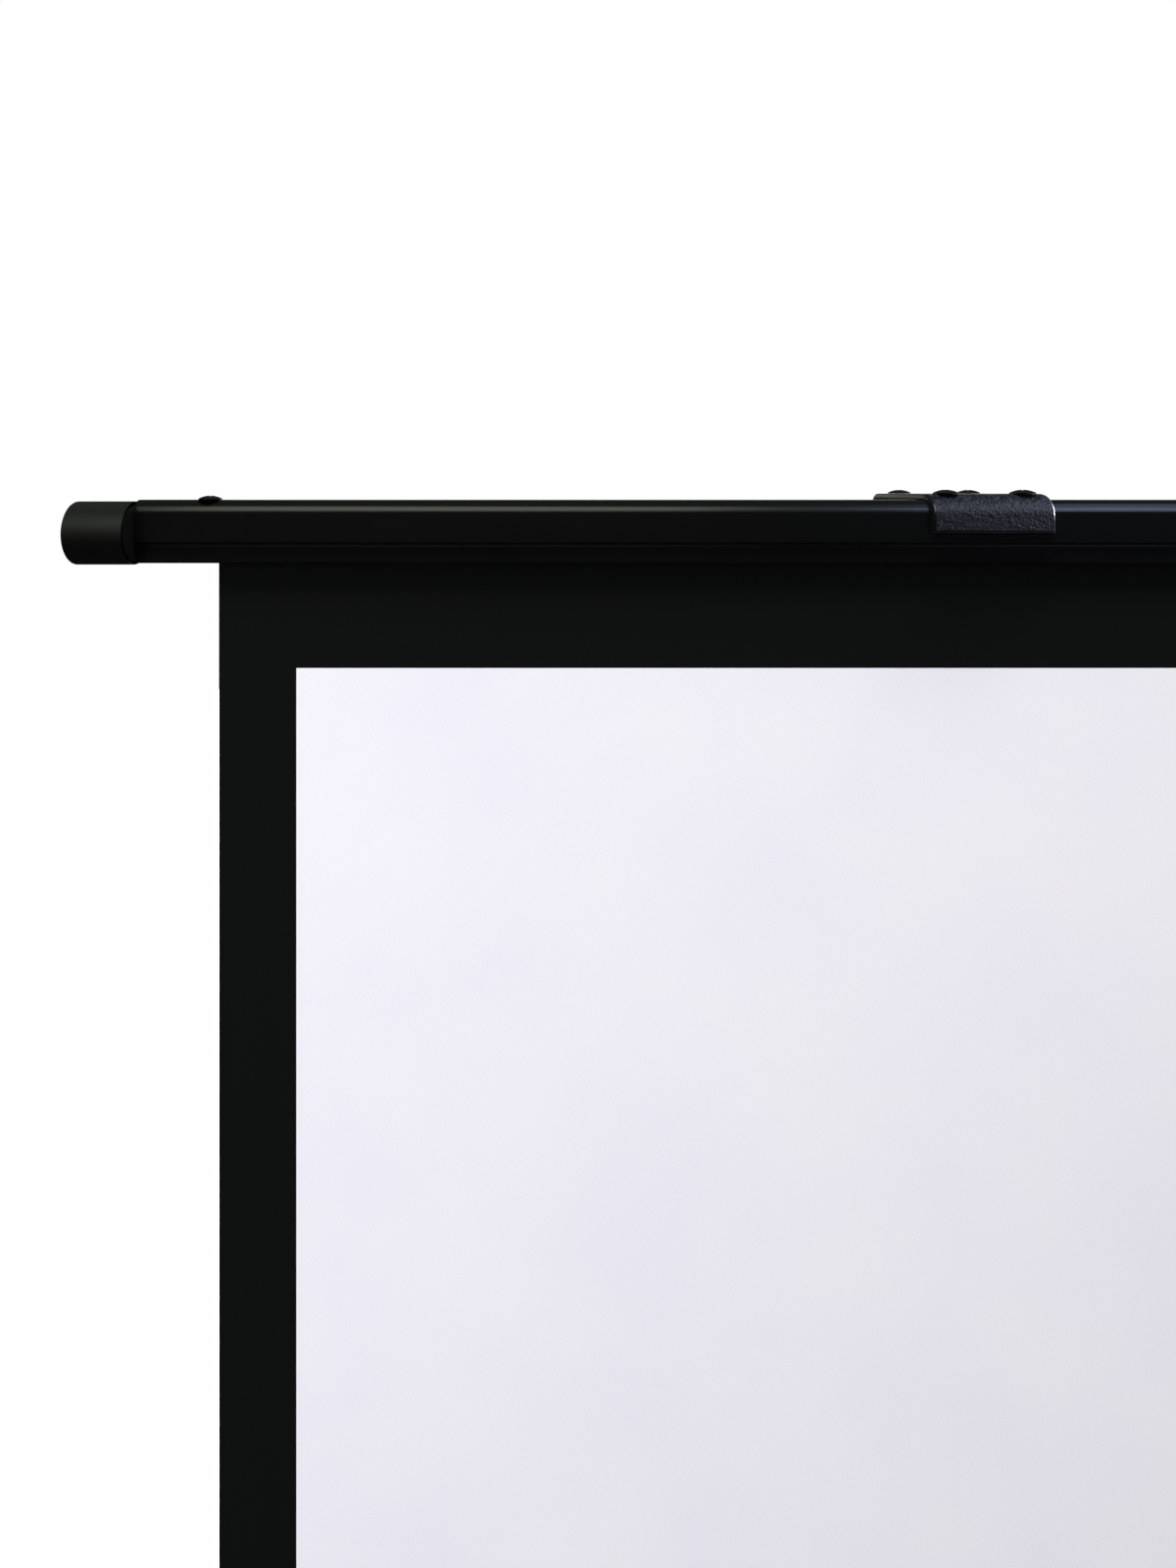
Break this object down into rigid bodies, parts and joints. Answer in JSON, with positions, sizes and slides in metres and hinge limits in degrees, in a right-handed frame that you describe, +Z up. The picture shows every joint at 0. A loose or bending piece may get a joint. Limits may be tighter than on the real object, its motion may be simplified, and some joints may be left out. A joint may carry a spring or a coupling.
{
  "type": "pull-up projection screen",
  "caption": "Table-top projection screen whose black top bar is pulled up from a case and held by folding, geared arms behind the fabric.",
  "frame": {"origin": "on the table, in the middle between the four foot pads, with the screen open", "axes": "+X along the top bar to the viewer's right, +Y away from the viewer, +Z up"},
  "size_m": [0.934, 0.25, 0.7373],
  "materials": {
    "bar_paint": "satin black coat on an aluminium extrusion",
    "cap_rubber": "matte black moulded rubber",
    "saddle_coat": "hammered black powder coat on bent steel",
    "screw_black": "black oxide steel",
    "plated_steel": "bright zinc plate",
    "arm_paint": "black powder coat",
    "case_paint": "satin black coat on an aluminium extrusion",
    "case_cap_plastic": "matte black moulded plastic",
    "roller_aluminium": "mill finish",
    "screen_fabric": "matte white with a black masking border",
    "black_fabric": "matte black backing",
    "pad_rubber": "matte black rubber",
    "nylon": "natural nylon"
  },
  "bodies": {
    "case": {"case_shell": "case_paint", "case_end_cap_left": "case_cap_plastic", "case_end_cap_right": "case_cap_plastic", "case_end_screw_front_left": "screw_black", "case_end_screw_front_right": "screw_black", "case_end_screw_rear_left": "screw_black", "case_end_screw_rear_right": "screw_black", "case_end_screw_top_left": "screw_black", "case_end_screw_top_right": "screw_black", "lower_yoke": "arm_paint", "lower_pivot_rivet_left": "plated_steel", "lower_pivot_rivet_right": "plated_steel", "lower_yoke_screw_left": "plated_steel", "lower_yoke_screw_right": "plated_steel", "slot_seal_front": "pad_rubber", "slot_seal_rear": "pad_rubber", "idle_pin": "plated_steel", "spring_shaft": "plated_steel", "roller_spring": "plated_steel", "projection_fabric": "screen_fabric", "foot_washer_left": "nylon", "foot_washer_right": "nylon", "foot_bolt_left": "plated_steel", "foot_bolt_right": "plated_steel", "foot_nut_left": "plated_steel", "foot_nut_right": "plated_steel"},
    "roller": {"roller_tube": "roller_aluminium", "fabric_roll": "black_fabric", "roller_plug_idle": "case_cap_plastic", "roller_plug_spring": "case_cap_plastic"},
    "lower_arm_left": {"lower_arm_left": "arm_paint", "elbow_rivet_left": "plated_steel", "elbow_spacer_left": "nylon"},
    "lower_arm_right": {"lower_arm_right": "arm_paint", "elbow_rivet_right": "plated_steel", "elbow_spacer_right": "nylon"},
    "upper_arm_left": {"upper_arm_left": "arm_paint"},
    "upper_arm_right": {"upper_arm_right": "arm_paint"},
    "top_bar": {"top_bar": "bar_paint", "bar_end_cap_left": "cap_rubber", "bar_end_cap_right": "cap_rubber", "bar_end_screw_left": "screw_black", "bar_end_screw_right": "screw_black", "fabric_spline": "nylon", "saddle_bracket": "saddle_coat", "saddle_nut_bar": "plated_steel", "saddle_screw_front_left": "screw_black", "saddle_screw_front_right": "screw_black", "saddle_screw_rear_left": "screw_black", "saddle_screw_rear_right": "screw_black", "top_yoke": "arm_paint", "top_pivot_rivet_left": "plated_steel", "top_pivot_rivet_right": "plated_steel"},
    "foot_left": {"foot_left": "case_cap_plastic", "foot_pad_front_left": "pad_rubber", "foot_pad_rear_left": "pad_rubber"},
    "foot_right": {"foot_right": "case_cap_plastic", "foot_pad_front_right": "pad_rubber", "foot_pad_rear_right": "pad_rubber"}
  },
  "joints": [
    {"name": "bar_lift", "type": "hinge", "parent": "case", "child": "lower_arm_left", "pos_m": [-0.02, 0.024, 0.0436], "axis": [0, -1, 0], "range_deg": [0, 76], "deforming": ["projection_fabric"]},
    {"name": "elbow_left", "type": "hinge", "parent": "lower_arm_left", "child": "upper_arm_left", "pos_m": [-0.07799, 0.03, 0.3725], "axis": [0, 1, 0], "range_deg": [0, 152]},
    {"name": "bar_pivot_left", "type": "hinge", "parent": "upper_arm_left", "child": "top_bar", "pos_m": [-0.02, 0.036, 0.7014], "axis": [0, -1, 0], "range_deg": [0, 76]},
    {"name": "lower_pivot_right", "type": "hinge", "parent": "case", "child": "lower_arm_right", "pos_m": [0.02, 0.024, 0.0436], "axis": [0, 1, 0], "range_deg": [0, 76]},
    {"name": "elbow_right", "type": "hinge", "parent": "lower_arm_right", "child": "upper_arm_right", "pos_m": [0.07799, 0.03, 0.3725], "axis": [0, -1, 0], "range_deg": [0, 152]},
    {"name": "roller_turn", "type": "hinge", "parent": "case", "child": "roller", "pos_m": [0, -0.02325, 0.0469], "axis": [-1, 0, 0], "range_deg": [0, 2520]},
    {"name": "foot_swing_left", "type": "hinge", "parent": "case", "child": "foot_left", "pos_m": [-0.33, 0, 0.0078], "axis": [0, 0, 1], "range_deg": [0, 90]},
    {"name": "foot_swing_right", "type": "hinge", "parent": "case", "child": "foot_right", "pos_m": [0.33, 0, 0.0078], "axis": [0, 0, -1], "range_deg": [0, 90]}
  ],
  "couplings": [
    {"joint": "elbow_left", "follows": "bar_lift", "ratio": 2},
    {"joint": "bar_pivot_left", "follows": "bar_lift", "ratio": 1},
    {"joint": "lower_pivot_right", "follows": "bar_lift", "ratio": 1},
    {"joint": "elbow_right", "follows": "bar_lift", "ratio": 2},
    {"joint": "roller_turn", "follows": "bar_lift", "ratio": 33.15}
  ]
}
